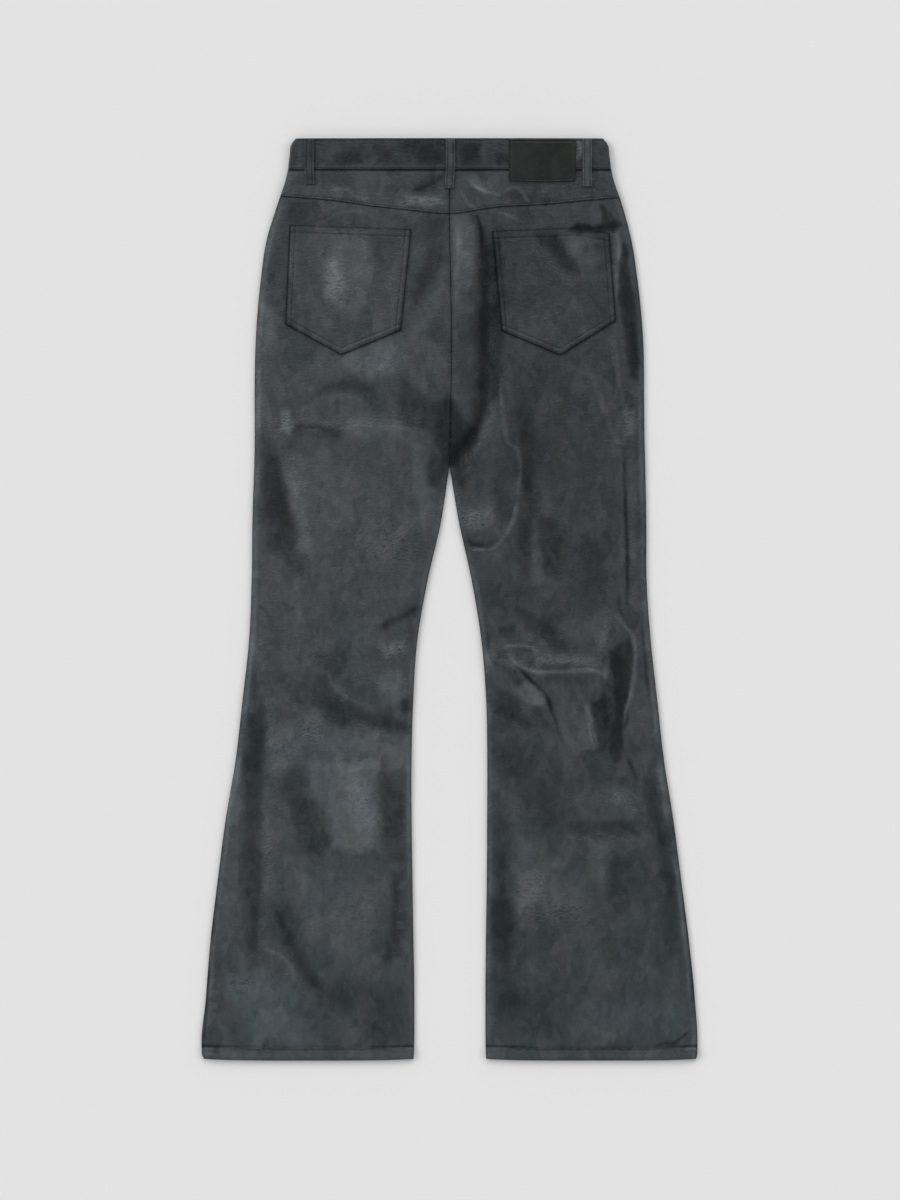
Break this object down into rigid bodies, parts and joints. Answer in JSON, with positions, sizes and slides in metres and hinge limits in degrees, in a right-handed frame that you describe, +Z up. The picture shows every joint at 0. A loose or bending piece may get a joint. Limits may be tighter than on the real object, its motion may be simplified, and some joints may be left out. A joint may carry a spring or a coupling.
{
  "type": "flared leather jeans",
  "caption": "Leather trousers of jeans cut, slim to the knee and flared to the hem, with yokes, belt loops, patch pockets and a bare waistband patch, laid flat with the back up.",
  "frame": {"origin": "on the surface that the garment lies on, at its mid width and mid length", "axes": "+X to the right of someone looking down on it, +Y towards the waist, +Z up out of the surface; the back of the garment is uppermost"},
  "size_m": [0.6303, 1.171, 0.0124],
  "materials": {
    "leather": "black to charcoal leather, semi-gloss, cloudy in cool and warm grey, tonal stitching",
    "patch_leather": "smooth near-black leather, satin",
    "button_metal": "dark gunmetal, satin"
  },
  "bodies": {
    "root": {"back_left": "leather", "back_right": "leather", "front_left": "leather", "front_right": "leather", "yoke_left": "leather", "yoke_right": "leather", "waistband": "leather", "loop_back_centre": "leather", "loop_back_left": "leather", "loop_back_right": "leather", "loop_front_left": "leather", "loop_front_right": "leather", "pocket_left": "leather", "pocket_right": "leather", "patch": "patch_leather", "waist_button": "button_metal"}
  },
  "joints": []
}
